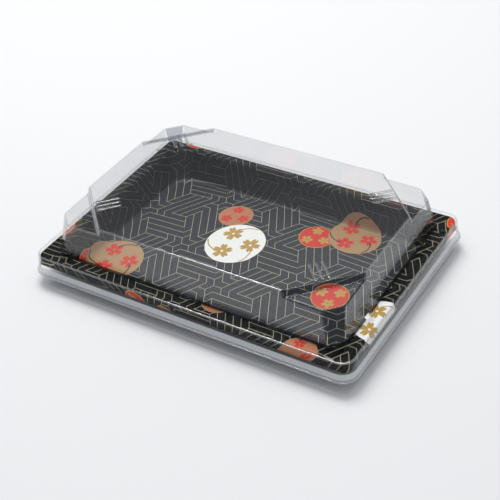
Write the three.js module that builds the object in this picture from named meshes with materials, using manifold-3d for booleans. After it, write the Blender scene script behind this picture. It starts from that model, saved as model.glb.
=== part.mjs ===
// A rectangular takeaway tray with a clear press-on lid, both thin formed plastic sheets.
// Millimetres, +Z up. The long side runs along X, and the tray stands on z = 0 with its middle on the Z axis.

import * as THREE from "three";
import { mergeVertices } from "three/addons/utils/BufferGeometryUtils.js";
import Module from "manifold-3d";

// Driving dimensions of the tray: half lengths along X and Y, and heights above the table
const TRAY_SHEET = 0.8;
const FLOOR_HALF = [97.5, 63.3];
const FLOOR_CORNER = 15;
const FLOOR_FILLET = 4;
const WALL_SPREAD = 5.7;
const RIM_TOP = 20.8;
const RIM_WIDTH = 9.6;
const RIM_NARROWER_ALONG_LONG_SIDES = 1.8;
const RIM_INNER_CORNER = 14;
const RIM_OUTER_CORNER = 4.5;
const RIM_EDGE_FILLET = 1.3;
const TRAY_SKIRT_BOTTOM = 13.9;
const TRAY_SKIRT_SPREAD = 0.8;

// Driving dimensions of the lid, outside faces
const LID_SHEET = 0.6;
const LID_GAP = 0.3;
const LID_TOP = 49;
const PANEL_HALF = [101.2, 65.75];
const WALL_FOOT_HALF = [104.5, 69.6];
const PANEL_CORNER_LEG = 35.5;
const PANEL_EDGE_FILLET = 0.9;
const LEDGE_DROP = 4;
const LEDGE_SLOPE = 0.6;
const STEP_SPREAD = 0.5;
const LEDGE_CORNER_LEG = 10;
const FOOT_CORNER_LEG = 7.5;
const FOOT_FILLET = 0.9;
const FLANGE_HALF = [115, 79];
const FLANGE_CORNER = 8.5;
const FLANGE_EDGE_FILLET = 1;
const LID_SKIRT_BOTTOM = 8.8;
const LID_SKIRT_SPREAD = 1.4;
const LIP_WIDTH = 1.2;

// Raised ribs on the lid's panel at each cut corner, buttons on its flange, knobs at its short walls' feet
const RIB_COUNT = 3;
const RIB_PITCH = 4.1;
const RIB_LENGTH = 16.5;
const RIB_WIDTH = 2.3;
const RIB_HEIGHT = 1;
const RIB_START = 1.2;
const BUTTON_RADIUS = 2.2;
const BUTTON_RISE = 1.1;
const BUTTON_FROM_CORNER = 21;
const BUTTON_FROM_EDGE = 4;
const KNOB_RADIUS = 2.8;
const KNOB_HEIGHT = 6;
const KNOB_ACROSS = 35.6;

// How finely round stretches are divided
const CORNER_STEPS = 7;
const FILLET_STEPS = 4;
const FACET_CORNER_STEPS = 3;
const DOME_STEPS = 3;
const DOME_SIDES = 12;

const wasm = await Module();
wasm.setup();

// A profile is a list of [out, z] points; fillets replace its inner points by arcs of the given radii
function filletedProfile(points, radii, steps) {
  const profile = [];
  points.forEach((point, i) => {
    const here = new THREE.Vector2(...point);
    if (!radii[i]) {
      profile.push(here);
      return;
    }
    const back = new THREE.Vector2(...points[i - 1]).sub(here).normalize();
    const ahead = new THREE.Vector2(...points[i + 1]).sub(here).normalize();
    const half = Math.acos(THREE.MathUtils.clamp(back.dot(ahead), -1, 1)) / 2;
    const reach = radii[i] / Math.tan(half);
    const centre = back.clone().add(ahead).setLength(radii[i] / Math.sin(half)).add(here);
    const from = here.clone().addScaledVector(back, reach).sub(centre);
    const to = here.clone().addScaledVector(ahead, reach).sub(centre);
    const turn = Math.atan2(from.cross(to), from.dot(to));
    for (let k = 0; k <= steps; k++) {
      profile.push(from.clone().rotateAround(new THREE.Vector2(), (turn * k) / steps).add(centre));
    }
  });
  return profile;
}

// The same profile moved to the other side of the sheet, which lies to the right of its direction
function offsetProfile(profile, thickness) {
  return profile.map((point, i) => {
    const before = profile[Math.max(i - 1, 0)];
    const after = profile[Math.min(i + 1, profile.length - 1)];
    const into = point.clone().sub(before).normalize();
    const onward = after.clone().sub(point).normalize();
    if (i === 0) into.copy(onward);
    if (i === profile.length - 1) onward.copy(into);
    const along = into.clone().add(onward).normalize();
    const normal = new THREE.Vector2(along.y, -along.x);
    const stretch = thickness / Math.max(0.5, along.dot(onward));
    return point.clone().addScaledVector(normal, stretch);
  });
}

// One corner of an outline as offsets from the middle, for the corner where x and y are both positive
function roundedCorner(halfX, halfY, radius, steps) {
  const corner = [];
  for (let k = 0; k <= steps; k++) {
    const angle = (Math.PI / 2) * (k / steps);
    corner.push([halfX - radius + radius * Math.cos(angle), halfY - radius + radius * Math.sin(angle)]);
  }
  return corner;
}

// A closed ring of points, counter-clockwise from above, made of the corner and its mirror images
function ring(corner, heights) {
  const quarter = corner.map(([x, y], i) => [x, y, Array.isArray(heights) ? heights[i] : heights]);
  const reversed = [...quarter].reverse();
  return [
    ...quarter,
    ...reversed.map(([x, y, z]) => [-x, y, z]),
    ...quarter.map(([x, y, z]) => [-x, -y, z]),
    ...reversed.map(([x, y, z]) => [x, -y, z]),
  ];
}

// A closed body from rings with equal counts: the first ring is capped facing up, the last facing down
function loft(rings) {
  const count = rings[0].length;
  const positions = rings.flat(2);
  const triangles = [];
  for (let k = 1; k < count - 1; k++) {
    const last = (rings.length - 1) * count;
    triangles.push([0, k, k + 1], [last, last + k + 1, last + k]);
  }
  for (let r = 0; r < rings.length - 1; r++) {
    for (let k = 0; k < count; k++) {
      const a = r * count + k;
      const b = r * count + ((k + 1) % count);
      triangles.push([a, a + count, b + count], [a, b + count, b]);
    }
  }
  const loose = new THREE.BufferGeometry();
  loose.setAttribute("position", new THREE.Float32BufferAttribute(positions, 3));
  loose.setIndex(triangles.flat());
  return withoutSlivers(mergeVertices(loose, 1e-4));
}

// Points that fall together leave triangles with a side of no length, which are dropped
function withoutSlivers(geometry) {
  const index = geometry.index.array;
  const kept = [];
  for (let i = 0; i < index.length; i += 3) {
    const [a, b, c] = [index[i], index[i + 1], index[i + 2]];
    if (a !== b && b !== c && c !== a) kept.push(a, b, c);
  }
  geometry.setIndex(kept);
  return geometry;
}

// Solids for joining and cutting, and back to a geometry
function toSolid(geometry) {
  const bare = geometry.clone();
  bare.deleteAttribute("normal");
  bare.deleteAttribute("uv");
  const merged = mergeVertices(bare, 1e-4);
  const vertProperties = new Float32Array(merged.attributes.position.array);
  const triVerts = new Uint32Array(merged.index.array);
  return new wasm.Manifold(new wasm.Mesh({ numProp: 3, vertProperties, triVerts }));
}

function toGeometry(solid) {
  const mesh = solid.getMesh();
  const geometry = new THREE.BufferGeometry();
  geometry.setAttribute("position", new THREE.BufferAttribute(mesh.vertProperties, 3));
  geometry.setIndex(new THREE.BufferAttribute(mesh.triVerts, 1));
  geometry.computeVertexNormals();
  return geometry;
}

// The four mirror images of a place, as pairs of signs
const CORNERS = [[1, 1], [-1, 1], [-1, -1], [1, -1]];

// Tray: floor, sloped wall, flat rim and a short skirt that turns down, all one sheet
function traySheet() {
  const rimInner = WALL_SPREAD;
  const rimOuter = rimInner + RIM_WIDTH;
  const outline = [
    [-FLOOR_FILLET * 2, TRAY_SHEET],
    [0, TRAY_SHEET],
    [rimInner, RIM_TOP],
    [rimOuter, RIM_TOP],
    [rimOuter + TRAY_SKIRT_SPREAD, TRAY_SKIRT_BOTTOM],
  ];
  const fillets = [0, FLOOR_FILLET, RIM_EDGE_FILLET, RIM_EDGE_FILLET, 0];
  const upper = filletedProfile(outline, fillets, FILLET_STEPS);
  const lower = offsetProfile(upper, TRAY_SHEET).reverse();
  const wallShare = (out) => THREE.MathUtils.clamp(out / rimInner, 0, 1);
  const rimShare = (out) => THREE.MathUtils.clamp((out - rimInner) / RIM_WIDTH, 0, 1);
  const cornerRadius = (out) => {
    const inner = THREE.MathUtils.lerp(FLOOR_CORNER, RIM_INNER_CORNER, wallShare(out));
    return THREE.MathUtils.lerp(inner, RIM_OUTER_CORNER, rimShare(out));
  };
  const toRing = (point, out) => {
    const halfX = FLOOR_HALF[0] + point.x;
    const halfY = FLOOR_HALF[1] + point.x - rimShare(out) * RIM_NARROWER_ALONG_LONG_SIDES;
    return ring(roundedCorner(halfX, halfY, cornerRadius(out) + point.x - out, CORNER_STEPS), point.y);
  };
  const upperRings = upper.map((point) => toRing(point, point.x));
  const lowerRings = lower.map((point, i) => toRing(point, upper[upper.length - 1 - i].x));
  return loft([...upperRings, ...lowerRings]);
}

// One corner of the lid, between two end points: its wall's narrow corner, or the long straight cut of its panel
function lidCorner(half, leg, cutLeg, onCut) {
  const corner = [[half[0], half[1] - cutLeg]];
  for (let k = 0; k <= FACET_CORNER_STEPS; k++) {
    const share = k / FACET_CORNER_STEPS;
    const alongCut = (share * (cutLeg - leg) + leg / 2) / cutLeg;
    corner.push(
      onCut
        ? [half[0] - cutLeg * alongCut, half[1] - cutLeg * (1 - alongCut)]
        : [half[0] - leg * share, half[1] - leg * (1 - share)],
    );
  }
  corner.push([half[0] - cutLeg, half[1]]);
  return corner;
}

// The lid's rings from its panel out and down to the lip, moved in by the sheet's thickness for its inside
function lidRings(inset) {
  const diagonal = inset * (2 - Math.SQRT2);
  const footZ = RIM_TOP + LID_GAP + LID_SHEET;
  const wallHalf = (z) => {
    const share = (z - footZ) / (LID_TOP - footZ);
    return [0, 1].map((axis) => THREE.MathUtils.lerp(WALL_FOOT_HALF[axis], PANEL_HALF[axis], share) - inset);
  };
  const grown = (half, by) => half.map((value) => value + by);
  const ledgeZ = LID_TOP - LEDGE_DROP;
  const panelLeg = PANEL_CORNER_LEG - diagonal;
  const ledgeCut = panelLeg - STEP_SPREAD * Math.SQRT2;
  const ledgeLeg = LEDGE_CORNER_LEG - diagonal;
  const footLeg = FOOT_CORNER_LEG - diagonal;
  const rings = [];
  const addLidRing = (half, leg, cutLeg, onCut, heights) =>
    rings.push(ring(lidCorner(half, leg, cutLeg, onCut), heights));
  for (let k = 0; k <= FILLET_STEPS - 1; k++) {
    const angle = (Math.PI / 2) * (k / (FILLET_STEPS - 1));
    const z = LID_TOP - PANEL_EDGE_FILLET * (1 - Math.cos(angle));
    const half = grown(wallHalf(LID_TOP - PANEL_EDGE_FILLET), PANEL_EDGE_FILLET * (Math.sin(angle) - 1));
    addLidRing(half, ledgeLeg, panelLeg, true, z - inset);
  }
  addLidRing(wallHalf(ledgeZ), ledgeLeg, ledgeCut, true, ledgeZ - inset);
  const ledgeHeights = [ledgeZ, ...Array(FACET_CORNER_STEPS + 1).fill(ledgeZ - LEDGE_SLOPE), ledgeZ];
  addLidRing(wallHalf(ledgeZ), ledgeLeg, ledgeCut, false, ledgeHeights.map((z) => z - inset));
  for (let k = 0; k <= FILLET_STEPS - 1; k++) {
    const angle = (Math.PI / 2) * (k / (FILLET_STEPS - 1));
    const z = footZ + FOOT_FILLET * (1 - Math.sin(angle));
    const half = grown(wallHalf(footZ + FOOT_FILLET), FOOT_FILLET * (1 - Math.cos(angle)));
    addLidRing(half, footLeg, ledgeCut, false, z - inset);
  }
  const skirt = [
    [-FLANGE_EDGE_FILLET * 3, footZ],
    [0, footZ],
    [LID_SKIRT_SPREAD, LID_SKIRT_BOTTOM],
    [LID_SKIRT_SPREAD + LIP_WIDTH, LID_SKIRT_BOTTOM],
  ];
  const profile = filletedProfile(skirt, [0, FLANGE_EDGE_FILLET, 0, 0], FILLET_STEPS);
  for (const { x: out, y: z } of profile) {
    const half = grown(FLANGE_HALF, out - inset);
    const radius = FLANGE_CORNER + Math.max(out, 0) - inset;
    rings.push(ring(roundedCorner(half[0], half[1], radius, FACET_CORNER_STEPS + 2), z - inset));
  }
  return rings;
}

// A bar with round ends along X, its low side at z = 0
function roundEndedBar(length, width, height) {
  const shape = new THREE.Shape();
  shape.moveTo(0, -width / 2);
  shape.absarc(length - width / 2, 0, width / 2, -Math.PI / 2, Math.PI / 2, false);
  shape.absarc(width / 2, 0, width / 2, Math.PI / 2, -Math.PI / 2, false);
  return new THREE.ExtrudeGeometry(shape, { depth: height, bevelEnabled: false, curveSegments: 5 });
}

// A dome of the given rise about the Z axis, on a round stem that reaches down by the given depth
function dome(radius, rise, depth, stem = 0) {
  const profile = [new THREE.Vector2(0, -depth), new THREE.Vector2(radius, -depth)];
  for (let k = 0; k <= DOME_STEPS; k++) {
    const angle = (Math.PI / 2) * (k / DOME_STEPS);
    const out = k < DOME_STEPS ? radius * Math.cos(angle) : 0;
    profile.push(new THREE.Vector2(out, stem + rise * Math.sin(angle)));
  }
  return new THREE.LatheGeometry(profile, DOME_SIDES).rotateX(Math.PI / 2);
}

// Joins a raised detail to the sheet and hollows it from below, so that the sheet stays thin there
function emboss(solid, outer, inner) {
  return solid.add(outer).subtract(inner);
}

// Lid: panel with four stepped corners, steep wall, flange over the rim and a long skirt with a lip
function lidSheet() {
  let lid = toSolid(loft([...lidRings(0), ...lidRings(LID_SHEET).reverse()]));
  const panelUnder = LID_TOP - LID_SHEET;
  const flangeZ = RIM_TOP + LID_GAP + LID_SHEET;
  const wallLean = Math.atan2(WALL_FOOT_HALF[0] - PANEL_HALF[0], LID_TOP - flangeZ);
  const cutMiddle = [PANEL_HALF[0] - PANEL_CORNER_LEG / 2, PANEL_HALF[1] - PANEL_CORNER_LEG / 2];
  for (const [signX, signY] of CORNERS) {
    for (let k = 0; k < RIB_COUNT; k++) {
      const side = (k - (RIB_COUNT - 1) / 2) * RIB_PITCH;
      const place = (geometry, z) =>
        geometry
          .translate(RIB_START, side, 0)
          .rotateZ(Math.atan2(-signY, -signX))
          .translate(signX * cutMiddle[0], signY * cutMiddle[1], z);
      const bar = roundEndedBar(RIB_LENGTH, RIB_WIDTH, RIB_HEIGHT + LID_SHEET / 2);
      const boreSize = [RIB_LENGTH - 2 * LID_SHEET, RIB_WIDTH - 2 * LID_SHEET, RIB_HEIGHT + LID_SHEET];
      const bore = roundEndedBar(...boreSize);
      const inner = place(bore.translate(LID_SHEET, 0, 0), panelUnder - LID_SHEET);
      lid = emboss(lid, toSolid(place(bar, LID_TOP - LID_SHEET / 2)), toSolid(inner));
    }
    const buttons = [
      [FLANGE_HALF[0] - BUTTON_FROM_CORNER, FLANGE_HALF[1] - BUTTON_FROM_EDGE],
      [FLANGE_HALF[0] - BUTTON_FROM_EDGE, FLANGE_HALF[1] - BUTTON_FROM_CORNER],
    ];
    for (const [x, y] of buttons) {
      const outer = dome(BUTTON_RADIUS, BUTTON_RISE, LID_SHEET / 2).translate(signX * x, signY * y, flangeZ);
      const bore = dome(BUTTON_RADIUS - LID_SHEET, BUTTON_RISE, LID_SHEET / 2);
      const inner = bore.translate(signX * x, signY * y, flangeZ - LID_SHEET);
      lid = emboss(lid, toSolid(outer), toSolid(inner));
    }
    const atWall = (geometry) =>
      geometry
        .translate(WALL_FOOT_HALF[0], signX * signY * KNOB_ACROSS, flangeZ)
        .rotateZ(signX > 0 ? 0 : Math.PI);
    const boreRadius = KNOB_RADIUS - LID_SHEET;
    const knob = dome(KNOB_RADIUS, KNOB_RADIUS, LID_SHEET / 2, KNOB_HEIGHT - KNOB_RADIUS);
    const knobBore = dome(boreRadius, boreRadius, 2 * LID_SHEET, KNOB_HEIGHT - KNOB_RADIUS);
    const outside = new THREE.BoxGeometry(4 * KNOB_RADIUS, 4 * KNOB_RADIUS, 4 * KNOB_HEIGHT)
      .translate(2 * KNOB_RADIUS, 0, 0)
      .rotateY(-wallLean)
      .translate(-LID_SHEET / 2, 0, 0);
    lid = emboss(lid, toSolid(atWall(knob)).intersect(toSolid(atWall(outside))), toSolid(atWall(knobBore)));
  }
  return toGeometry(lid);
}

const group = new THREE.Group();

const tray = new THREE.Mesh(
  traySheet(),
  new THREE.MeshStandardMaterial({ color: 0x17181c, roughness: 0.25, metalness: 0 }),
);
tray.name = "tray";
group.add(tray);

const clearPlastic = new THREE.MeshStandardMaterial({ color: 0xe9edf0, roughness: 0.08, metalness: 0 });
clearPlastic.transparent = true;
clearPlastic.opacity = 0.35;
const lid = new THREE.Mesh(lidSheet(), clearPlastic);
lid.name = "lid";
group.add(lid);

export default group;
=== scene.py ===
import math

import bmesh
import bpy
import numpy as np
from mathutils import Matrix, Vector


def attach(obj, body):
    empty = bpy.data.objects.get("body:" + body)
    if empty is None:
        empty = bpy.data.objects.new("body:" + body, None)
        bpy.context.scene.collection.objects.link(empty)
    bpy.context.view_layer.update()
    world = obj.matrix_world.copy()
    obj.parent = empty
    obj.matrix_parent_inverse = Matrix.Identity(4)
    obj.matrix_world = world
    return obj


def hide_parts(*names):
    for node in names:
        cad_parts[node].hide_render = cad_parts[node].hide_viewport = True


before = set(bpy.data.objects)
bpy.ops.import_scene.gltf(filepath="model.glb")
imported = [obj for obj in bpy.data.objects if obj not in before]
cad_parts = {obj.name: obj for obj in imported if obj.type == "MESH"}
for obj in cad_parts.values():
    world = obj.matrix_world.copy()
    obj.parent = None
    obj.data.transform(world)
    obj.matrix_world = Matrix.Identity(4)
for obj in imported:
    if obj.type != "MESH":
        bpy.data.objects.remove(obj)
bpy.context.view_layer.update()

MM = 0.001

# Tray, in millimetres: half lengths along X and Y, and heights above the table
TRAY_SHEET = 0.8
FLOOR_HALF = (97.5, 63.3)
FLOOR_CORNER = 15
FLOOR_FILLET = 4
WALL_SPREAD = 5.7
RIM_TOP = 20.8
RIM_WIDTH = 9.6
RIM_NARROWER_ALONG_LONG_SIDES = 1.8
RIM_INNER_CORNER = 14
RIM_OUTER_CORNER = 4.5
RIM_EDGE_FILLET = 1.3
TRAY_SKIRT_BOTTOM = 13.9
TRAY_SKIRT_SPREAD = 0.8

# Lid, outside faces
LID_SHEET = 0.6
LID_GAP = 0.3
LID_TOP = 49
PANEL_HALF = (101.2, 65.75)
WALL_FOOT_HALF = (104.5, 69.6)
PANEL_CORNER_LEG = 35.5
LEDGE_DROP = 4
LEDGE_SLOPE = 0.6
STEP_SPREAD = 0.5
LEDGE_CORNER_LEG = 10
FOOT_CORNER_LEG = 7.5
FLANGE_HALF = (115, 79)
FLANGE_CORNER = 8.5
LID_SKIRT_BOTTOM = 8.8
LID_SKIRT_SPREAD = 1.4
CLEAR_BAND_TOP = 13.6
LIP_WIDTH = 1.2
LID_EDGE_ROUND = 0.9
FOOT_Z = RIM_TOP + LID_GAP + LID_SHEET

RIB_COUNT = 3
RIB_PITCH = 4.1
RIB_LENGTH = 16.5
RIB_WIDTH = 2.3
RIB_HEIGHT = 1
RIB_START = 1.2
BUTTON_RADIUS = 2.2
BUTTON_RISE = 1.1
BUTTON_FROM_CORNER = 21
BUTTON_FROM_EDGE = 4
KNOB_RADIUS = 2.8
KNOB_HEIGHT = 6
KNOB_ACROSS = 35.6
QUADRANTS = ((1, 1), (-1, 1), (-1, -1), (1, -1))


def lerp(a, b, share):
    return a + (b - a) * share


def clamp(value):
    return min(max(value, 0.0), 1.0)


def filleted_profile(points, radii, steps):
    """The points [out, z], with the inner ones replaced by arcs of the given radii."""
    profile = []
    for i, (point, radius) in enumerate(zip(points, radii)):
        here = Vector(point)
        if not radius:
            profile.append(here)
            continue
        back = (Vector(points[i - 1]) - here).normalized()
        ahead = (Vector(points[i + 1]) - here).normalized()
        half = back.angle(ahead) / 2
        reach = radius / math.tan(half)
        centre = here + (back + ahead).normalized() * (radius / math.sin(half))
        start = here + back * reach - centre
        end = here + ahead * reach - centre
        turn = math.atan2(start.x * end.y - start.y * end.x, start.dot(end))
        for k in range(steps + 1):
            profile.append(Matrix.Rotation(turn * k / steps, 2) @ start + centre)
    return profile


def densified(profile, step):
    """The same profile with points no further apart than step."""
    dense = [profile[0]]
    for a, b in zip(profile, profile[1:]):
        count = max(1, math.ceil((b - a).length / step))
        dense += [a.lerp(b, k / count) for k in range(1, count + 1)]
    return dense


def offset_profile(profile, thickness):
    """The other side of the sheet, which lies to the right of the profile's direction."""
    moved = []
    last = len(profile) - 1
    for i, point in enumerate(profile):
        into = (point - profile[max(i - 1, 0)]).normalized()
        onward = (profile[min(i + 1, last)] - point).normalized()
        if i == 0:
            into = onward
        if i == last:
            onward = into
        along = (into + onward).normalized()
        moved.append(point + Vector((along.y, -along.x)) * (thickness / along.dot(onward)))
    return moved


SHARPEST_CORNER = 0.01


def rounded_ring(half_x, half_y, radius, corner_steps, side_steps):
    """Points of a rounded rectangle, counter-clockwise from above, with points along its straight sides."""
    quarter = []
    radius = max(radius, SHARPEST_CORNER)
    for k in range(corner_steps + 1):
        angle = math.pi / 2 * k / corner_steps
        inward_x, inward_y = radius * (1 - math.cos(angle)), radius * (1 - math.sin(angle))
        quarter.append((half_x - inward_x, half_y - inward_y))
    corners = [
        quarter,
        [(-x, y) for x, y in reversed(quarter)],
        [(-x, -y) for x, y in quarter],
        [(x, -y) for x, y in reversed(quarter)],
    ]
    ring = []
    for i, corner in enumerate(corners):
        start, end = Vector(corner[-1]), Vector(corners[(i + 1) % 4][0])
        steps = side_steps[i % 2]
        ring += [tuple(c) for c in corner] + [tuple(start.lerp(end, k / steps)) for k in range(1, steps)]
    return ring


def mesh_object(name, vertices, faces, material_of_face=None):
    mesh = bpy.data.meshes.new(name)
    mesh.from_pydata([tuple(c * MM for c in v) for v in vertices], [], faces)
    if material_of_face:
        mesh.polygons.foreach_set("material_index", material_of_face)
    mesh.polygons.foreach_set("use_smooth", [True] * len(faces))
    mesh.update()
    obj = bpy.data.objects.new(name, mesh)
    bpy.context.scene.collection.objects.link(obj)
    return obj


# Print on the flat sheet, before it was drawn into the tray. Its unit is one edge of the line pattern's
# triangles, and the rim keeps the flat sheet's size, while the floor and walls are stretched.
PRINT_EDGE = 5.53
RIM_PRINT_MIDDLE = Vector((11.38, 5.10))
# How far the sheet slid while it was drawn, on the rim of each side: right and left, back and front
DRIFT_ACROSS_X = {True: Vector((0, 0.15)), False: Vector((-0.5, 0.75))}
DRIFT_ACROSS_Y = {True: Vector((-0.55, 0.55)), False: Vector((0, -0.1))}
DRIFT_FROM = (95.2, 61)
DRIFT_REACH = 8


def print_on_rim(x, y):
    share_x = clamp((abs(x) - DRIFT_FROM[0]) / DRIFT_REACH)
    share_y = clamp((abs(y) - DRIFT_FROM[1]) / DRIFT_REACH)
    drift = DRIFT_ACROSS_X[x > 0] * share_x + DRIFT_ACROSS_Y[y > 0] * share_y
    return RIM_PRINT_MIDDLE + Vector((x, y)) / PRINT_EDGE + drift / max(share_x + share_y, 1)


def print_on_floor(x, y):
    """The floor is drawn about 7 % longer and 15 % wider than the flat sheet, and a little unevenly."""
    x, y = x / 100, y / 100
    u = 11.13 + 16.73 * x - 0.35 * y - 0.26 * x * x - 0.33 * x * y - 0.38 * y * y + 0.96 * x * y * y
    v = 4.96 + 15.29 * y + 0.37 * x * x + 0.71 * y * y + 1.29 * x * x * y + 0.87 * x * y * y + 1.86 * y**3
    return Vector((u, v))


CORNER_STEPS = 16
SIDE_STEPS = (60, 40)
FLOOR_STEP = 4
FLOOR_RINGS = 14
FILLET_STEPS = 8
PROFILE_STEP = 2
ON_LEVEL = 0.01


def tray_rings():
    """Rings of the upper face from the floor's middle to the skirt's edge, and of the face below it."""
    outline = [
        (-FLOOR_FILLET * 2, TRAY_SHEET),
        (0, TRAY_SHEET),
        (WALL_SPREAD, RIM_TOP),
        (WALL_SPREAD + RIM_WIDTH, RIM_TOP),
        (WALL_SPREAD + RIM_WIDTH + TRAY_SKIRT_SPREAD, TRAY_SKIRT_BOTTOM),
    ]
    fillets = [0, FLOOR_FILLET, RIM_EDGE_FILLET, RIM_EDGE_FILLET, 0]
    upper = densified(filleted_profile(outline, fillets, FILLET_STEPS), PROFILE_STEP)
    lower = offset_profile(upper, TRAY_SHEET)
    first = upper[0].x

    def to_ring(point, out):
        wall_share = clamp(out / WALL_SPREAD)
        rim_share = clamp((out - WALL_SPREAD) / RIM_WIDTH)
        half_x = FLOOR_HALF[0] + point.x
        half_y = FLOOR_HALF[1] + point.x - rim_share * RIM_NARROWER_ALONG_LONG_SIDES
        radius = lerp(lerp(FLOOR_CORNER, RIM_INNER_CORNER, wall_share), RIM_OUTER_CORNER, rim_share)
        shrunk = min(0, out + 2 * FLOOR_FILLET)
        ring = rounded_ring(half_x, half_y, radius + point.x - out + shrunk, CORNER_STEPS, SIDE_STEPS)
        return [(x, y, point.y) for x, y in ring]

    inner = [first - FLOOR_STEP * k for k in range(FLOOR_RINGS - 1, 0, -1)]
    rings_up = [to_ring(Vector((out, TRAY_SHEET)), out) for out in inner]
    rings_up += [to_ring(point, point.x) for point in upper]
    rings_down = [to_ring(Vector((out, 0)), out) for out in inner]
    rings_down += [to_ring(point, above.x) for point, above in zip(lower, upper)]
    return rings_up, rings_down, len(inner), upper


def tray_print_places(rings_up, floor_count, profile):
    """Where each point of the upper face was on the flat sheet, in the print's units."""
    foot = floor_count + next(i for i, p in enumerate(profile) if p.y > TRAY_SHEET + ON_LEVEL) - 1
    on_rim = [i for i, p in enumerate(profile) if p.y > RIM_TOP - ON_LEVEL]
    top, edge = floor_count + on_rim[0], floor_count + on_rim[-1]
    lengths = [0.0] * (floor_count + 1)
    for a, b in zip(profile, profile[1:]):
        lengths.append(lengths[-1] + (b - a).length)
    places = []
    for r, ring in enumerate(rings_up):
        row = []
        for k, (x, y, _z) in enumerate(ring):
            if r <= foot:
                row.append(print_on_floor(x, y))
            elif r < top:
                share = (lengths[r] - lengths[foot]) / (lengths[top] - lengths[foot])
                low = print_on_floor(*rings_up[foot][k][:2])
                high = print_on_rim(*rings_up[top][k][:2])
                row.append(low.lerp(high, share))
            elif r <= edge:
                row.append(print_on_rim(x, y))
            else:
                rim, inward = Vector(rings_up[edge][k][:2]), Vector(rings_up[edge - 1][k][:2])
                beyond = rim + (rim - inward).normalized() * (lengths[r] - lengths[edge])
                row.append(print_on_rim(*beyond))
        places.append(row)
    return places


def build_tray():
    rings_up, rings_down, floor_count, profile = tray_rings()
    places = tray_print_places(rings_up, floor_count, profile)
    count = len(rings_up[0])
    vertices = [p for ring in rings_up + rings_down for p in ring]
    faces, slots = [], []
    bottom = len(rings_up)

    def band(a, b, slot):
        for k in range(count):
            n = (k + 1) % count
            faces.append((a * count + k, b * count + k, b * count + n, a * count + n))
            slots.append(slot)

    for r in range(bottom - 1):
        band(r, r + 1, 0)
    for r in range(bottom - 1):
        band(bottom + r + 1, bottom + r, 1)
    band(bottom - 1, 2 * bottom - 1, 1)
    faces.append(tuple(range(count)))
    slots.append(0)
    faces.append(tuple(bottom * count + k for k in reversed(range(count))))
    slots.append(1)
    tray = mesh_object("tray_sheet", vertices, faces, slots)
    layer = tray.data.uv_layers.new(name="print")
    flat = [place for row in places for place in row]
    flat += [Vector((0, 0))] * (count * bottom)
    loops = np.zeros(len(tray.data.loops), np.int64)
    tray.data.loops.foreach_get("vertex_index", loops)
    layer.data.foreach_set("uv", np.array(flat, float)[loops].ravel())
    return tray


def wall_half(z):
    share = (z - FOOT_Z) / (LID_TOP - FOOT_Z)
    return [lerp(foot, top, share) for foot, top in zip(WALL_FOOT_HALF, PANEL_HALF)]


FLANGE_CORNER_STEPS = 12


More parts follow.
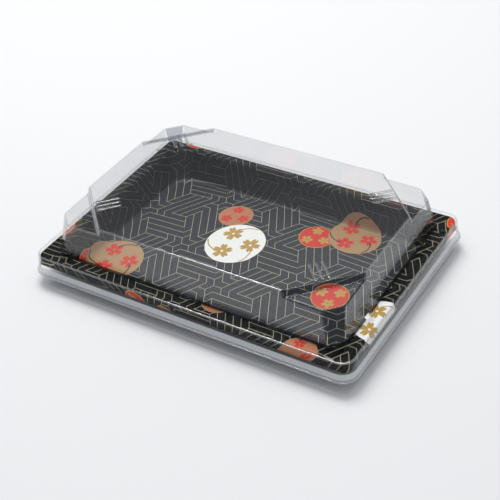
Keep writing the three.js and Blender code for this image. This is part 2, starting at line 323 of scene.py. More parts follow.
def lid_surface():
    """The lid's outside as one open sheet with sharp edges, from the panel down to the skirt's lip."""
    vertices, faces, index = [], [], {}

    def at(x, y, z):
        key = (round(x, 4), round(y, 4), round(z, 4))
        if key not in index:
            index[key] = len(vertices)
            vertices.append((x, y, z))
        return index[key]

    def face(*corners):
        faces.append(tuple(at(*c) for c in corners))

    ledge_z = LID_TOP - LEDGE_DROP
    panel, ledge, foot = wall_half(LID_TOP), wall_half(ledge_z), wall_half(FOOT_Z)
    low_ledge = ledge_z - LEDGE_SLOPE
    outer = wall_half(low_ledge)
    ledge_cut = PANEL_CORNER_LEG - STEP_SPREAD * math.sqrt(2)

    def cut(half, leg, z, sx, sy):
        """The ends of a corner's cut, first the one on the wall across X, then the one across Y."""
        return (sx * half[0], sy * (half[1] - leg), z), (sx * (half[0] - leg), sy * half[1], z)

    def flange_arc(grown, z, sx, sy):
        radius = FLANGE_CORNER + grown
        arc = []
        for k in range(FLANGE_CORNER_STEPS + 1):
            angle = math.pi / 2 * k / FLANGE_CORNER_STEPS
            x = FLANGE_HALF[0] - FLANGE_CORNER + radius * math.cos(angle)
            y = FLANGE_HALF[1] - FLANGE_CORNER + radius * math.sin(angle)
            arc.append((sx * x, sy * y, z))
        return arc

    band_spread = LID_SKIRT_SPREAD * (FOOT_Z - CLEAR_BAND_TOP) / (FOOT_Z - LID_SKIRT_BOTTOM)
    levels = [
        (0, FOOT_Z),
        (band_spread, CLEAR_BAND_TOP),
        (LID_SKIRT_SPREAD, LID_SKIRT_BOTTOM),
        (LID_SKIRT_SPREAD + LIP_WIDTH, LID_SKIRT_BOTTOM),
    ]
    corners = []
    for sx, sy in QUADRANTS:
        flip = sx * sy < 0
        parts = {
            "panel": cut(panel, PANEL_CORNER_LEG, LID_TOP, sx, sy),
            "ledge": cut(ledge, ledge_cut, ledge_z, sx, sy),
            "narrow": cut(outer, LEDGE_CORNER_LEG, low_ledge, sx, sy),
            "foot": cut(foot, FOOT_CORNER_LEG, FOOT_Z, sx, sy),
            "arcs": [flange_arc(grown, z, sx, sy) for grown, z in levels],
        }
        if flip:
            parts = {
                name: [list(reversed(a)) for a in part] if name == "arcs" else tuple(reversed(part))
                for name, part in parts.items()
            }
        corners.append(parts)
    face(*[p for c in corners for p in c["panel"]])
    for i, c in enumerate(corners):
        n = corners[(i + 1) % 4]
        (p0, p1), (l0, l1), (w0, w1), (f0, f1) = c["panel"], c["ledge"], c["narrow"], c["foot"]
        face(p1, p0, l0, l1)
        face(l1, l0, w0, w1)
        face(w1, w0, f0, f1)
        (q0, _), (m0, _), (v0, _), (g0, _) = n["panel"], n["ledge"], n["narrow"], n["foot"]
        face(q0, p1, l1, w1, f1, g0, v0, m0)
        arc, arc_next = c["arcs"][0], n["arcs"][0]
        face(f1, f0, *arc)
        face(g0, f1, arc[-1], arc_next[0])
        for upper, lower, upper_next, lower_next in zip(
            c["arcs"], c["arcs"][1:], n["arcs"], n["arcs"][1:]
        ):
            for k in range(len(upper) - 1):
                face(upper[k + 1], upper[k], lower[k], lower[k + 1])
            face(upper_next[0], upper[-1], lower[-1], lower_next[0])
    return mesh_object("lid_shell", vertices, faces)


def apply_modifiers(obj):
    graph = bpy.context.evaluated_depsgraph_get()
    made = bpy.data.meshes.new_from_object(obj.evaluated_get(graph))
    obj.modifiers.clear()
    obj.data = made


ON_AXIS = 1e-6


def lathe(name, profile, sides, place):
    """A closed turned body about the Z axis, from a profile of [radius, z] that begins and ends on it."""
    bm = bmesh.new()
    rings = []
    for radius, z in profile:
        around = sides if radius > ON_AXIS else 1
        turn = [2 * math.pi * k / sides for k in range(around)]
        ring = [Vector((radius * math.cos(a), radius * math.sin(a), z)) for a in turn]
        rings.append([bm.verts.new(place @ point * MM) for point in ring])
    for low, high in zip(rings, rings[1:]):
        for k in range(sides):
            n = (k + 1) % sides
            corners = [low[k % len(low)], low[n % len(low)], high[n % len(high)], high[k % len(high)]]
            corners = [v for j, v in enumerate(corners) if v not in corners[:j]]
            if len(corners) > 2:
                bm.faces.new(corners)
    return object_from(name, bm)


def object_from(name, bm):
    bmesh.ops.recalc_face_normals(bm, faces=bm.faces)
    mesh = bpy.data.meshes.new(name)
    bm.to_mesh(mesh)
    bm.free()
    obj = bpy.data.objects.new(name, mesh)
    bpy.context.scene.collection.objects.link(obj)
    return obj


def dome_profile(radius, rise, depth, stem=0.0, steps=8):
    turn = [math.pi / 2 * k / steps for k in range(steps)]
    arc = [(radius * math.cos(a), stem + rise * math.sin(a)) for a in turn]
    return [(0, -depth), (radius, -depth), *arc, (0, stem + rise)]


RIB_END_STEPS = 8
RIB_EDGE_ROUND = (0.5, 0.3)
BUTTON_SIDES = 24
KNOB_SIDES = 32


def rib_body(length, width, height, edge, place):
    """A bar with round ends along X, standing on z = 0, its top edge rounded."""
    bm = bmesh.new()
    half = width / 2
    turn = [math.pi * k / RIB_END_STEPS for k in range(RIB_END_STEPS + 1)]
    outline = [(length - half + half * math.sin(a), -half * math.cos(a)) for a in turn]
    outline += [(half - half * math.sin(a), half * math.cos(a)) for a in turn]
    floor = [bm.verts.new((x, y, 0)) for x, y in outline]
    base = bm.faces.new(floor)
    top = bmesh.ops.extrude_face_region(bm, geom=[base])
    raised = [v for v in top["geom"] if isinstance(v, bmesh.types.BMVert)]
    bmesh.ops.translate(bm, verts=raised, vec=(0, 0, height))
    rim = [e for e in bm.edges if all(v in raised for v in e.verts)]
    bmesh.ops.bevel(bm, geom=rim, offset=edge, segments=3, profile=0.5, affect="EDGES", clamp_overlap=True)
    for v in bm.verts:
        v.co = place @ v.co * MM
    return object_from("rib", bm)


def outside_block(place):
    """A block outside a short wall's leaning face, for cutting a knob's round stem in half."""
    block = (4 * KNOB_RADIUS, 4 * KNOB_RADIUS, 4 * KNOB_HEIGHT)
    bm = bmesh.new()
    lean = math.atan2(WALL_FOOT_HALF[0] - PANEL_HALF[0], LID_TOP - FOOT_Z)
    bmesh.ops.create_cube(bm, size=1)
    size = Matrix.Diagonal((*block, 1))
    shift = Matrix.Translation((-LID_SHEET / 2, 0, 0)) @ Matrix.Rotation(-lean, 4, "Y")
    moved = place @ shift @ Matrix.Translation((block[0] / 2, 0, 0)) @ size
    for v in bm.verts:
        v.co = moved @ v.co * MM
    return object_from("outside", bm)


def boolean(obj, other, operation):
    modifier = obj.modifiers.new(operation, "BOOLEAN")
    modifier.operation = operation
    modifier.object = other
    modifier.solver = "MANIFOLD"
    apply_modifiers(obj)
    bpy.data.objects.remove(other)


def joined(objects, name):
    """One mesh of several loose closed bodies."""
    bm = bmesh.new()
    for obj in objects:
        bm.from_mesh(obj.data)
        bpy.data.objects.remove(obj)
    return object_from(name, bm)


# Numbers of the lid's materials in LID_LOOKS, after the flat faces' own, which is number 0
EDGE, RIM, CORNER, STEP, FOLD, BAND, LIP = range(1, 8)
ROUNDED = (EDGE, STEP, FOLD)
SMOOTH_WITHIN = math.cos(math.radians(40))
FLAT_FACE_AREA = 8e-6
SHARP_EDGE = math.radians(10)
LID_EDGE_STEPS = 4
FLANGE_EDGE_REACH = 3
ON_FLANGE = 0.1
DIAGONAL = 0.5
EDGE_ZONE = 2


def lid_details():
    """The raised bodies and the bores that hollow them from below."""
    raised, bores = [], []
    cut_middle = [half - PANEL_CORNER_LEG / 2 for half in PANEL_HALF]
    bore_length, bore_width = RIB_LENGTH - 2 * LID_SHEET, RIB_WIDTH - 2 * LID_SHEET
    for sx, sy in QUADRANTS:
        turn = Matrix.Rotation(math.atan2(-sy, -sx), 4, "Z")
        middle = Matrix.Translation((sx * cut_middle[0], sy * cut_middle[1], 0))
        for k in range(RIB_COUNT):
            side = (k - (RIB_COUNT - 1) / 2) * RIB_PITCH
            along = middle @ turn @ Matrix.Translation((RIB_START, side, 0))
            outer = along @ Matrix.Translation((0, 0, LID_TOP - LID_SHEET / 2))
            height = RIB_HEIGHT + LID_SHEET / 2
            raised.append(rib_body(RIB_LENGTH, RIB_WIDTH, height, RIB_EDGE_ROUND[0], outer))
            inner = along @ Matrix.Translation((LID_SHEET, 0, LID_TOP - 2 * LID_SHEET))
            height = RIB_HEIGHT + LID_SHEET
            bores.append(rib_body(bore_length, bore_width, height, RIB_EDGE_ROUND[1], inner))
        for x, y in (
            (FLANGE_HALF[0] - BUTTON_FROM_CORNER, FLANGE_HALF[1] - BUTTON_FROM_EDGE),
            (FLANGE_HALF[0] - BUTTON_FROM_EDGE, FLANGE_HALF[1] - BUTTON_FROM_CORNER),
        ):
            place = Matrix.Translation((sx * x, sy * y, FOOT_Z))
            button = dome_profile(BUTTON_RADIUS, BUTTON_RISE, LID_SHEET / 2)
            raised.append(lathe("button", button, BUTTON_SIDES, place))
            bore = dome_profile(BUTTON_RADIUS - LID_SHEET, BUTTON_RISE, LID_SHEET / 2)
            bores.append(lathe("bore", bore, BUTTON_SIDES, place @ Matrix.Translation((0, 0, -LID_SHEET))))
        at_wall = Matrix.Rotation(0 if sx > 0 else math.pi, 4, "Z")
        at_wall = at_wall @ Matrix.Translation((WALL_FOOT_HALF[0], sx * sy * KNOB_ACROSS, FOOT_Z))
        stem, bore_radius = KNOB_HEIGHT - KNOB_RADIUS, KNOB_RADIUS - LID_SHEET
        knob = dome_profile(KNOB_RADIUS, KNOB_RADIUS, LID_SHEET / 2, stem)
        knob = lathe("knob", knob, KNOB_SIDES, at_wall)
        boolean(knob, outside_block(at_wall), "INTERSECT")
        raised.append(knob)
        bore = dome_profile(bore_radius, bore_radius, 2 * LID_SHEET, stem)
        bores.append(lathe("bore", bore, KNOB_SIDES, at_wall))
    return joined(raised, "raised"), joined(bores, "bores")


def shade_with_flat_faces(mesh):
    """Smooth normals over the rounded edges and details, which run into exactly flat large faces."""
    mesh.polygons.foreach_set("use_smooth", [True] * len(mesh.polygons))
    around = [[] for _ in mesh.vertices]
    for polygon in mesh.polygons:
        for v in polygon.vertices:
            around[v].append(polygon)
    normals = []
    for polygon in mesh.polygons:
        for v in polygon.vertices:
            near = [p for p in around[v] if p.normal.dot(polygon.normal) > SMOOTH_WITHIN]
            flat = [p for p in near if p.material_index not in ROUNDED and p.area > FLAT_FACE_AREA]
            if polygon in flat:
                normals.append(polygon.normal.copy())
            else:
                normals.append(sum((p.normal * p.area for p in flat or near), Vector()).normalized())
    mesh.normals_split_custom_set(normals)


def slot_of_flat_face(face, centre):
    if centre.z < LID_SKIRT_BOTTOM + 1:
        return LIP
    if centre.z < CLEAR_BAND_TOP:
        return BAND
    if centre.z < FOOT_Z + ON_FLANGE:
        return RIM
    faces_corner = abs(face.normal.x) > DIAGONAL and abs(face.normal.y) > DIAGONAL
    # The narrow corner faces get painted shade, a darker tint
    return CORNER if faces_corner else face.material_index


def slot_of_rounded_edge(face, centre):
    """The steps of the corner nearest the camera get painted shade as dark lines, like the walls' foot."""
    above_foot = centre.z - FOOT_Z
    if EDGE_ZONE < above_foot < LID_TOP - LEDGE_DROP - EDGE_ZONE - FOOT_Z:
        return RIM
    cut_line = sum(PANEL_HALF) - PANEL_CORNER_LEG
    if above_foot > EDGE_ZONE and centre.x - centre.y > cut_line - EDGE_ZONE:
        return STEP
    within_flange = all(abs(c) < half - FLANGE_EDGE_REACH for c, half in zip(centre, FLANGE_HALF))
    # The fold at the walls' foot gets painted shade, a very dark tint
    if above_foot < EDGE_ZONE and within_flange:
        return FOLD
    return LIP if face.material_index == LIP else EDGE


def build_lid():
    """Clear shell with rounded edges and raised details, each kind of face in a material of its own."""
    lid = lid_surface()
    for name, look in LID_LOOKS.items():
        lid.data.materials.append(lid_material(name, *look))
    bm = bmesh.new()
    bm.from_mesh(lid.data)
    bmesh.ops.recalc_face_normals(bm, faces=bm.faces)
    sharp = [e for e in bm.edges if len(e.link_faces) == 2 and e.calc_face_angle() > SHARP_EDGE]
    rounded = bmesh.ops.bevel(
        bm,
        geom=sharp,
        offset=LID_EDGE_ROUND * MM,
        segments=LID_EDGE_STEPS,
        profile=0.5,
        affect="EDGES",
        clamp_overlap=True,
    )
    for face in bm.faces:
        face.material_index = slot_of_flat_face(face, face.calc_center_median() / MM)
    for face in rounded["faces"]:
        face.material_index = slot_of_rounded_edge(face, face.calc_center_median() / MM)
    bm.to_mesh(lid.data)
    bm.free()
    sheet = lid.modifiers.new("sheet", "SOLIDIFY")
    sheet.thickness = LID_SHEET * MM
    sheet.offset = -1
    sheet.use_even_offset = True
    apply_modifiers(lid)
    raised, bores = lid_details()
    for detail in (raised, bores):
        for made in lid.data.materials:
            detail.data.materials.append(made)
        for face in detail.data.polygons:
            face.material_index = EDGE if face.center.z > (LID_TOP - LEDGE_DROP) * MM else RIM
    boolean(lid, raised, "UNION")
    boolean(lid, bores, "DIFFERENCE")
    shade_with_flat_faces(lid.data)
    return lid


class Nodes:
    """Short calls that add shader nodes and join them up."""

    def __init__(self, tree):
        self.tree = tree

    def new(self, kind, **settings):
        node = self.tree.nodes.new(kind)
        for name, value in settings.items():
            setattr(node, name, value)
        return node

    def feed(self, socket, value):
        if isinstance(value, bpy.types.NodeSocket):
            self.tree.links.new(value, socket)
        else:
            socket.default_value = value

    def math(self, operation, *values):
        node = self.new("ShaderNodeMath", operation=operation)
        for socket, value in zip(node.inputs, values):
            self.feed(socket, value)
        return node.outputs[0]

    def hypotenuse(self, a, b):
        squares = [self.math("MULTIPLY", side, side) for side in (a, b)]
        return self.math("SQRT", self.math("ADD", *squares))

    def vector(self, operation, *values):
        node = self.new("ShaderNodeVectorMath", operation=operation)
        for socket, value in zip(node.inputs, values):
            self.feed(socket, value)
        return node.outputs[0]

    def length(self, way):
        node = self.new("ShaderNodeVectorMath", operation="LENGTH")
        self.feed(node.inputs[0], way)
        return node.outputs["Value"]

    def parts(self, way):
        node = self.new("ShaderNodeSeparateXYZ")
        self.feed(node.inputs[0], way)
        return node.outputs[0], node.outputs[1]

    def mix_number(self, share, a, b):
        node = self.new("ShaderNodeMix", data_type="FLOAT")
        for socket, value in zip((node.inputs[0], node.inputs[2], node.inputs[3]), (share, a, b)):
            self.feed(socket, value)
        return node.outputs[0]

    def mix_vector(self, share, a, b):
        node = self.new("ShaderNodeMix", data_type="VECTOR")
        for socket, value in zip((node.inputs[0], node.inputs[4], node.inputs[5]), (share, a, b)):
            self.feed(socket, value)
        return node.outputs[1]

    def noise(self, scale):
        node = self.new("ShaderNodeTexNoise")
        node.inputs["Scale"].default_value = scale
        return node.outputs[0]

    def ramp(self, value, start, end):
        """0 before the start and 1 after the end, with a soft step between."""
        node = self.new("ShaderNodeMapRange", interpolation_type="SMOOTHSTEP")
        node.inputs[1].default_value, node.inputs[2].default_value = start, end
        self.feed(node.inputs[0], value)
        return node.outputs[0]

    def mix_shader(self, share, a, b):
        node = self.new("ShaderNodeMixShader")
        for socket, value in zip(node.inputs, (share, a, b)):
            self.feed(socket, value)
        return node.outputs[0]

    def mix(self, share, a, b):
        node = self.new("ShaderNodeMix", data_type="RGBA")
        self.feed(node.inputs["Factor"], share)
        self.feed(node.inputs[6], a)
        self.feed(node.inputs[7], b)
        return node.outputs[2]


def material(name):
    made = bpy.data.materials.new(name)
    made.use_nodes = True
    made.node_tree.nodes.clear()
    nodes = Nodes(made.node_tree)
    return made, nodes, nodes.new("ShaderNodeOutputMaterial")


def srgb(*screen):
    """A linear colour from red, green and blue of 0 to 255 as a screen shows them."""
    shares = [c / 255 for c in screen]
    return (*(c / 12.92 if c <= 0.04045 else ((c + 0.055) / 1.055) ** 2.4 for c in shares), 1.0)


# Line pattern: on a lattice of triangles with edge 1, each horizontal row of a repeating set of five holds
# these stretches of line, with a period of 15 along the row. Each set is moved on by half a period, and the
# whole is laid three times, turned by a third of a turn about a lattice point.
ROW_HEIGHT = math.sqrt(3) / 2
PERIOD = 15
ROW_SET = 5
ROWS_BELOW_MIDDLE = 2.1
LINES_IN_ROW = {
    -2: ((8, 9), (11, 16)),
    -1: ((8.5, 9.5), (10.5, 15.5)),
    0: ((5, 8), (10, 11), (13, 15)),
    1: ((4.5, 9.5), (10.5, 11.5)),
    2: ((4, 9), (11, 12)),
}
LINE_HALF_WIDTH = 0.023


def line_rows_group():
    """A node group: the distance from a place on the sheet to the nearest line of one laying."""
    tree = bpy.data.node_groups.new("line_rows", "ShaderNodeTree")
    tree.interface.new_socket("u", in_out="INPUT", socket_type="NodeSocketFloat")
    tree.interface.new_socket("v", in_out="INPUT", socket_type="NodeSocketFloat")
    tree.interface.new_socket("distance", in_out="OUTPUT", socket_type="NodeSocketFloat")
    nodes = Nodes(tree)
    given = nodes.new("NodeGroupInput")
    u, v = given.outputs[0], given.outputs[1]
    row = nodes.math("ROUND", nodes.math("DIVIDE", v, ROW_HEIGHT))
    across = nodes.math("ABSOLUTE", nodes.math("SUBTRACT", v, nodes.math("MULTIPLY", row, ROW_HEIGHT)))
    row_set = nodes.math("FLOOR", nodes.math("DIVIDE", nodes.math("ADD", row, ROWS_BELOW_MIDDLE), ROW_SET))
    in_set = nodes.math("SUBTRACT", row, nodes.math("MULTIPLY", row_set, ROW_SET))
    along = nodes.math("SUBTRACT", u, nodes.math("MULTIPLY", row_set, PERIOD / 2))
    nearest = None
    for number, stretches in LINES_IN_ROW.items():
        beside = None
        for start, end in stretches:
            middle, half = (start + end) / 2, (end - start) / 2
            offset = nodes.math("WRAP", nodes.math("SUBTRACT", along, middle), PERIOD / 2, -PERIOD / 2)
            gap = nodes.math("MAXIMUM", nodes.math("SUBTRACT", nodes.math("ABSOLUTE", offset), half), 0.0)
            beside = gap if beside is None else nodes.math("MINIMUM", beside, gap)
        elsewhere = nodes.math("ABSOLUTE", nodes.math("SUBTRACT", in_set, number))
        beside = nodes.math("ADD", beside, nodes.math("MULTIPLY", elsewhere, PERIOD))
        nearest = beside if nearest is None else nodes.math("MINIMUM", nearest, beside)
    out = nodes.new("NodeGroupOutput")
    nodes.feed(out.inputs[0], nodes.hypotenuse(nearest, across))
    return tree


# Round motifs on the sheet: the middle and radius of each, in the print's units. The big ones carry three
# blossoms and three short arcs that curl in from the edge, the small ones three blossoms, and these are
# measured in shares of the motif's radius.
WHITE_MOTIFS = ((8.0, 6.8, 3.35), (31.95, -1.2, 3.3))
TAN_MOTIFS = ((19.35, 13.85, 3.05), (-2.85, -1.1, 3.3))
SMALL = 2.0
SMALL_TAN = (
    (5.15, 11.13, SMALL),
    (26.35, -9.3, SMALL),
    (14.7, -6.3, SMALL),
    (8.6, -11.7, SMALL),
    (-10.8, -2.45, SMALL),
)
SMALL_RED = (
    (15.5, 11.7, SMALL),
    (4.4, -11.1, SMALL),
    (32.7, 18.65, SMALL),
    (-5.75, 20.95, SMALL),
    (-4.4, -2.8, SMALL),
)
SMALL_RED_TURNED = ((21.9, 3.8, SMALL),)
BIG_BLOSSOMS_OUT = 0.53
BIG_TURN = math.radians(11)
BIG_BLOSSOM = 0.37
SMALL_BLOSSOMS_OUT = 0.56
SMALL_TURN = math.radians(-10)
SMALL_BLOSSOM = 0.37
SMALL_EDGE = 0.955
ARC_OUT = 0.394
ARC_RADIUS = 0.615
ARC_FROM = math.radians(-82)
ARC_END = math.radians(-12)
ARC_HALF_WIDTH = 0.021

BLACK = srgb(3, 3, 5)
# Dark grey of the floor: painted sheen, the black lifted where the floor would mirror the bright room
FLOOR_BLACK_WITH_PAINTED_SHEEN = srgb(50, 53, 59)
GOLD_LINE = srgb(205, 198, 162)
# Duller gold of the lines on the walls: painted shade
WALL_GOLD_LINE_IN_PAINTED_SHADE = srgb(120, 116, 96)
PRINT_WHITE = srgb(255, 254, 248)
PRINT_TAN = srgb(184, 146, 104)
PRINT_SALMON = srgb(196, 130, 96)
PRINT_RED = srgb(218, 62, 48)
PRINT_GOLD = srgb(198, 160, 82)
PRINT_DARK = srgb(44, 38, 30)
FAR_AWAY = (99, 99, 0)


def nearest_motif(nodes, place, groups):
    """The way from the middle of the motif that holds this place, in its radii, and the group's number."""
    way, kind = FAR_AWAY, 0.0
    for number, (motifs, turned) in enumerate(groups, 1):
        for u, v, radius in motifs:
            scale = -radius if turned else radius
            offset = nodes.vector("DIVIDE", nodes.vector("SUBTRACT", place, (u, v, 0)), (scale, scale, 1))
            near = nodes.math("LESS_THAN", nodes.length(offset), 1.0)
            way = nodes.mix_vector(near, way, offset)
            kind = nodes.mix_number(near, kind, float(number))
    return way, kind


def folded(nodes, way, turn):
    """The three equal thirds about the middle, laid on each other: new x and y, the radius and the angle."""
    x, y = nodes.parts(way)
    radius = nodes.length(way)
    angle = nodes.math("SUBTRACT", nodes.math("ARCTAN2", y, x), turn)
    angle = nodes.math("WRAP", angle, math.pi / 3, -math.pi / 3)
    x = nodes.math("MULTIPLY", radius, nodes.math("COSINE", angle))
    y = nodes.math("MULTIPLY", radius, nodes.math("SINE", angle))
    return x, y, radius, angle


# A blossom's five petals: how far out they meet and how much further they reach, in shares of its size, how
# pointed they are, where the notch in the tip begins and how deep it cuts, and the eye's share of the size
PETAL_BASE, PETAL_REACH, PETAL_POINT = 0.3, 0.68, 0.7
NOTCH_FROM, NOTCH_DEPTH = 0.95, 4.0
EYE_SHARE = 0.13


def blossom(nodes, x, y, size):
    """1 inside a flower of five notched petals, with a small open eye."""
    angle = nodes.math("ARCTAN2", y, x)
    lobe = nodes.math("ABSOLUTE", nodes.math("COSINE", nodes.math("MULTIPLY", angle, 5 / 2)))
    past = nodes.math("MAXIMUM", nodes.math("SUBTRACT", lobe, NOTCH_FROM), 0.0)
    edge = nodes.math("MULTIPLY", nodes.math("POWER", lobe, PETAL_POINT), PETAL_REACH)
    edge = nodes.math("ADD", edge, PETAL_BASE)
    edge = nodes.math("SUBTRACT", edge, nodes.math("MULTIPLY", past, NOTCH_DEPTH))
    radius = nodes.hypotenuse(x, y)
    petals = nodes.math("LESS_THAN", radius, nodes.math("MULTIPLY", edge, size))
    return nodes.math("MULTIPLY", petals, nodes.math("GREATER_THAN", radius, size * EYE_SHARE))


def line_distance(nodes, u, v):
    rows = line_rows_group()
    distance = None
    for k in range(3):
        c, s = math.cos(2 * math.pi * k / 3), math.sin(2 * math.pi * k / 3)
        turned = nodes.new("ShaderNodeGroup", node_tree=rows)
        for socket, (u_share, v_share) in zip(turned.inputs, ((c, s), (-s, c))):
            shares = nodes.math("MULTIPLY", u, u_share), nodes.math("MULTIPLY", v, v_share)
            nodes.feed(socket, nodes.math("ADD", *shares))
        found = turned.outputs[0]
        distance = found if distance is None else nodes.math("MINIMUM", distance, found)
    return distance


def small_motifs(nodes, place, colour):
    groups = ((SMALL_TAN, False), (SMALL_RED, False), (SMALL_RED_TURNED, True))
    way, kind = nearest_motif(nodes, place, groups)
    x, y, radius, _angle = folded(nodes, way, SMALL_TURN)
    is_red = nodes.math("GREATER_THAN", kind, 1.5)
    ground = nodes.mix(is_red, PRINT_SALMON, PRINT_RED)
    flower = blossom(nodes, nodes.math("SUBTRACT", x, SMALL_BLOSSOMS_OUT), y, SMALL_BLOSSOM)
    ground = nodes.mix(flower, ground, nodes.mix(is_red, PRINT_RED, PRINT_GOLD))
    rim = nodes.math("GREATER_THAN", radius, SMALL_EDGE)
    ground = nodes.mix(rim, ground, nodes.mix(is_red, PRINT_TAN, PRINT_GOLD))
    return nodes.mix(nodes.math("LESS_THAN", radius, 1.0), colour, ground)


def big_motifs(nodes, place, colour):
    groups = ((WHITE_MOTIFS, False), (TAN_MOTIFS, False))
    way, kind = nearest_motif(nodes, place, groups)
    x, y, radius, angle = folded(nodes, way, BIG_TURN)
    is_tan = nodes.math("GREATER_THAN", kind, 1.5)
    ground = nodes.mix(is_tan, PRINT_WHITE, PRINT_TAN)
    flower = blossom(nodes, nodes.math("SUBTRACT", x, BIG_BLOSSOMS_OUT), y, BIG_BLOSSOM)
    ground = nodes.mix(flower, ground, nodes.mix(is_tan, PRINT_GOLD, PRINT_RED))
    from_x = nodes.math("SUBTRACT", x, ARC_OUT * math.cos(ARC_FROM))
    from_y = nodes.math("SUBTRACT", y, ARC_OUT * math.sin(ARC_FROM))
    off = nodes.math("ABSOLUTE", nodes.math("SUBTRACT", nodes.hypotenuse(from_x, from_y), ARC_RADIUS))
    arc = nodes.math("LESS_THAN", off, ARC_HALF_WIDTH)
    arc = nodes.math("MULTIPLY", arc, nodes.math("LESS_THAN", angle, ARC_END))
    ground = nodes.mix(arc, ground, nodes.mix(is_tan, PRINT_GOLD, PRINT_DARK))
    return nodes.mix(nodes.math("LESS_THAN", radius, 1.0), colour, ground)


# The floor's painted sheen fades out between the sheet's top and this height
PAINTED_SHEEN_UP_TO = 3.5
# The walls' painted shade on their lines ends just under the rim
WALL_SHADE_UP_TO = RIM_TOP - 0.5
PRINT_ROUGHNESS = 0.12
PRINT_ROUGHNESS_SPREAD = 0.03
PRINT_GRAIN_SCALE = 900
PRINT_IOR = 1.25


def tray_material():
    """The floor's black is lifted to a dark grey as painted sheen, and the walls' lines are darkened as painted
    shade, to match how they show through the lid.
    """
    made, nodes, output = material("printed_black_sheet")
    place = nodes.new("ShaderNodeUVMap", uv_map="print").outputs[0]
    u, v = nodes.parts(place)
    split = nodes.new("ShaderNodeSeparateXYZ")
    nodes.feed(split.inputs[0], nodes.new("ShaderNodeTexCoord").outputs["Object"])
    x, y, z = split.outputs
    # Painted sheen: the floor's black is lifted to dark grey, fading out at the foot of the walls
    floor_sheen_mask = nodes.ramp(z, PAINTED_SHEEN_UP_TO * MM, TRAY_SHEET * MM)
    # Mask of the walls, where the lines are darkened as painted shade
    wall_shade_mask = nodes.math("SUBTRACT", 1.0, floor_sheen_mask)
    wall_shade_mask = nodes.math("MULTIPLY", wall_shade_mask, nodes.math("LESS_THAN", z, WALL_SHADE_UP_TO * MM))
    for axis, half in zip((x, y), FLOOR_HALF):
        inside = nodes.math("LESS_THAN", nodes.math("ABSOLUTE", axis), (half + WALL_SPREAD + 1) * MM)
        wall_shade_mask = nodes.math("MULTIPLY", wall_shade_mask, inside)
    line = nodes.math("LESS_THAN", line_distance(nodes, u, v), LINE_HALF_WIDTH)
    ground = nodes.mix(floor_sheen_mask, BLACK, FLOOR_BLACK_WITH_PAINTED_SHEEN)
    colour = nodes.mix(line, ground, nodes.mix(wall_shade_mask, GOLD_LINE, WALL_GOLD_LINE_IN_PAINTED_SHADE))
    colour = small_motifs(nodes, place, colour)
    colour = big_motifs(nodes, place, colour)
    shader = nodes.new("ShaderNodeBsdfPrincipled")
    nodes.feed(shader.inputs["Base Color"], colour)
    uneven = nodes.math("MULTIPLY", nodes.noise(PRINT_GRAIN_SCALE), PRINT_ROUGHNESS_SPREAD)
    nodes.feed(shader.inputs["Roughness"], nodes.math("ADD", uneven, PRINT_ROUGHNESS))
    shader.inputs["IOR"].default_value = PRINT_IOR
    nodes.feed(output.inputs[0], shader.outputs[0])
    return made


UNDERSIDE_GRAIN_SCALE = 400
UNDERSIDE_GREYS = srgb(14, 14, 16), srgb(26, 26, 28)
UNDERSIDE_ROUGHNESS = 0.45


def underside_material():
    made, nodes, output = material("plain_black_sheet")
    shader = nodes.new("ShaderNodeBsdfPrincipled")
    colour = nodes.mix(nodes.noise(UNDERSIDE_GRAIN_SCALE), *UNDERSIDE_GREYS)
    nodes.feed(shader.inputs["Base Color"], colour)
    shader.inputs["Roughness"].default_value = UNDERSIDE_ROUGHNESS
    nodes.feed(output.inputs[0], shader.outputs[0])
    return made


# How much each part of the lid mirrors when faced, its tint, and its share of white haze. The dark tints of the
# corner, step and fold faces are painted shade.
LID_LOOKS = {
    "clear_sheet": (0.052, (0.996, 0.997, 0.998, 1), 0.005),
    "clear_sheet_edge": (0.22, (0.93, 0.935, 0.94, 1), 0.02),
    "clear_sheet_rim": (0.004, (0.99, 0.992, 0.993, 1), 0.0),
    # Narrow corner faces: the dark tint is painted shade
    "clear_sheet_corner_painted_shade": (0.004, (0.76, 0.77, 0.79, 1), 0.0),
    # Steps of the near corner: the dark tint is painted shade
    "clear_sheet_step_painted_shade": (0.04, (0.6, 0.61, 0.63, 1), 0.0),
    # Fold at the walls' foot: the dark tint is painted shade in the crease
    "clear_sheet_fold_painted_shade": (0.01, (0.38, 0.39, 0.42, 1), 0.0),
    "clear_sheet_band": (0.02, (0.99, 0.99, 0.99, 1), 0.5),
    "clear_sheet_lip": (0.12, (0.85, 0.85, 0.85, 1), 0.25),
}
HAZE_SCALE = 350
HAZE_WHITE = (0.9, 0.92, 0.95, 1)
LID_ROUGHNESS = 0.03


def lid_material(name, mirror, tint, haze):
    """Clear thin sheet: what is behind it shows unbent, and a face mirrors more the flatter it is seen."""
    made, nodes, output = material(name)
    facing = nodes.new("ShaderNodeLayerWeight")
    facing.inputs["Blend"].default_value = 0.5
    slope = nodes.math("POWER", facing.outputs["Facing"], 5.0)
    share = nodes.math("ADD", nodes.math("MULTIPLY", slope, 1 - mirror), mirror)
    clear = nodes.new("ShaderNodeBsdfTransparent")
    clear.inputs[0].default_value = tint
    through = clear.outputs[0]
    if haze:
        white = nodes.new("ShaderNodeBsdfDiffuse")
        white.inputs[0].default_value = HAZE_WHITE
        grain = nodes.math("ADD", nodes.noise(HAZE_SCALE), 1.5)
        through = nodes.mix_shader(nodes.math("MULTIPLY", grain, haze / 2), through, white.outputs[0])
    gloss = nodes.new("ShaderNodeBsdfGlossy")
    gloss.inputs["Roughness"].default_value = LID_ROUGHNESS
    nodes.feed(output.inputs[0], nodes.mix_shader(share, through, gloss.outputs[0]))
    return made


# Camera: fitted to the straight edges of tray and lid
CAMERA_AT = Vector((0.33048, -0.47609, 0.45846))
CAMERA_YAW = 34.66
CAMERA_DOWN = 37.77
CAMERA_ROLL = -5.27
CAMERA_LENS = 80.66


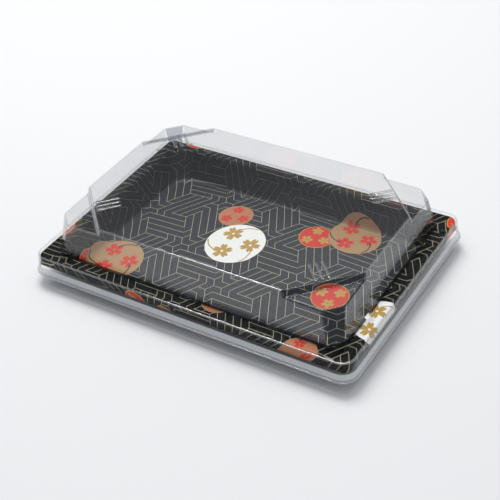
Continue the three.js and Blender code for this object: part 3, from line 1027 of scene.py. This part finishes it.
def add_camera():
    yaw, down = math.radians(CAMERA_YAW), math.radians(CAMERA_DOWN)
    forward = Vector((-math.sin(yaw) * math.cos(down), math.cos(yaw) * math.cos(down), -math.sin(down)))
    level = forward.cross(Vector((0, 0, 1))).normalized()
    right = Matrix.Rotation(math.radians(-CAMERA_ROLL), 3, forward) @ level
    up = right.cross(forward)
    data = bpy.data.cameras.new("camera")
    data.sensor_width = 36
    data.lens = CAMERA_LENS
    data.clip_start, data.clip_end = 0.01, 20
    camera = bpy.data.objects.new("camera", data)
    turn = Matrix((right, up, -forward)).transposed()
    camera.matrix_world = Matrix.Translation(CAMERA_AT) @ turn.to_4x4()
    bpy.context.scene.collection.objects.link(camera)
    bpy.context.scene.camera = camera


# One wide softbox hangs level, high up at the back left. The shine on the lid's panel looks back and up
# along (-0.45, 0.65, 0.6), where the room is dim and brightens upward.
SOFTBOX_AT = (-0.4, 0.42, 1.45)
SOFTBOX_SIZE = (1.0, 0.6)
SOFTBOX_POWER = 17
ROOM_LOW = (0.76, 0.77, 0.79, 1)
ROOM_DIM = (0.14, 0.15, 0.17, 1)
ROOM_HIGH = (0.66, 0.68, 0.71, 1)
ROOM_FRONT = (0.33, 0.34, 0.36, 1)
FRONT_BETWEEN = (0.1, -0.5)
DIM_BETWEEN = (0.2, 0.46)
HIGH_BETWEEN = (0.5, 0.7)
FLOOR_SIZE = 8
FLOOR_BELOW = 0.2
FLOOR_GREYS = ((0.8, 0.8, 0.8, 1), (0.82, 0.82, 0.82, 1))
STAGE_NOISE_SCALE = 3
STAGE_ROUGHNESS = 0.6


def add_room():
    """The light from all around, by height: bright low down behind, dim above that, and bright overhead."""
    world = bpy.data.worlds.new("studio")
    bpy.context.scene.world = world
    world.use_nodes = True
    nodes = Nodes(world.node_tree)
    split = nodes.new("ShaderNodeSeparateXYZ")
    nodes.feed(split.inputs[0], nodes.new("ShaderNodeTexCoord").outputs["Generated"])
    _x, y, z = split.outputs
    low = nodes.mix(nodes.ramp(y, *FRONT_BETWEEN), ROOM_LOW, ROOM_FRONT)
    colour = nodes.mix(nodes.ramp(z, *DIM_BETWEEN), low, ROOM_DIM)
    colour = nodes.mix(nodes.ramp(z, *HIGH_BETWEEN), colour, ROOM_HIGH)
    nodes.feed(world.node_tree.nodes["Background"].inputs[0], colour)


def add_softbox():
    """A light faces straight down as it is made."""
    data = bpy.data.lights.new("softbox", "AREA")
    data.shape = "RECTANGLE"
    data.size, data.size_y = SOFTBOX_SIZE
    data.energy = SOFTBOX_POWER
    light = bpy.data.objects.new("softbox", data)
    light.location = SOFTBOX_AT
    bpy.context.scene.collection.objects.link(light)


def add_studio():
    add_room()
    add_softbox()
    bpy.ops.mesh.primitive_plane_add(size=FLOOR_SIZE, location=(0, 0, -FLOOR_BELOW * MM))
    floor = bpy.context.object
    floor.name = "floor"
    made, nodes, output = material("pale_floor")
    shader = nodes.new("ShaderNodeBsdfPrincipled")
    nodes.feed(shader.inputs["Base Color"], nodes.mix(nodes.noise(STAGE_NOISE_SCALE), *FLOOR_GREYS))
    shader.inputs["Roughness"].default_value = STAGE_ROUGHNESS
    nodes.feed(output.inputs[0], shader.outputs[0])
    floor.data.materials.append(made)
    bpy.context.scene.view_settings.view_transform = "Standard"


tray = build_tray()
tray.data.materials.append(tray_material())
tray.data.materials.append(underside_material())
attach(tray, "root")
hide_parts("tray")

lid = build_lid()
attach(lid, "root")
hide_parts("lid")

add_camera()
add_studio()
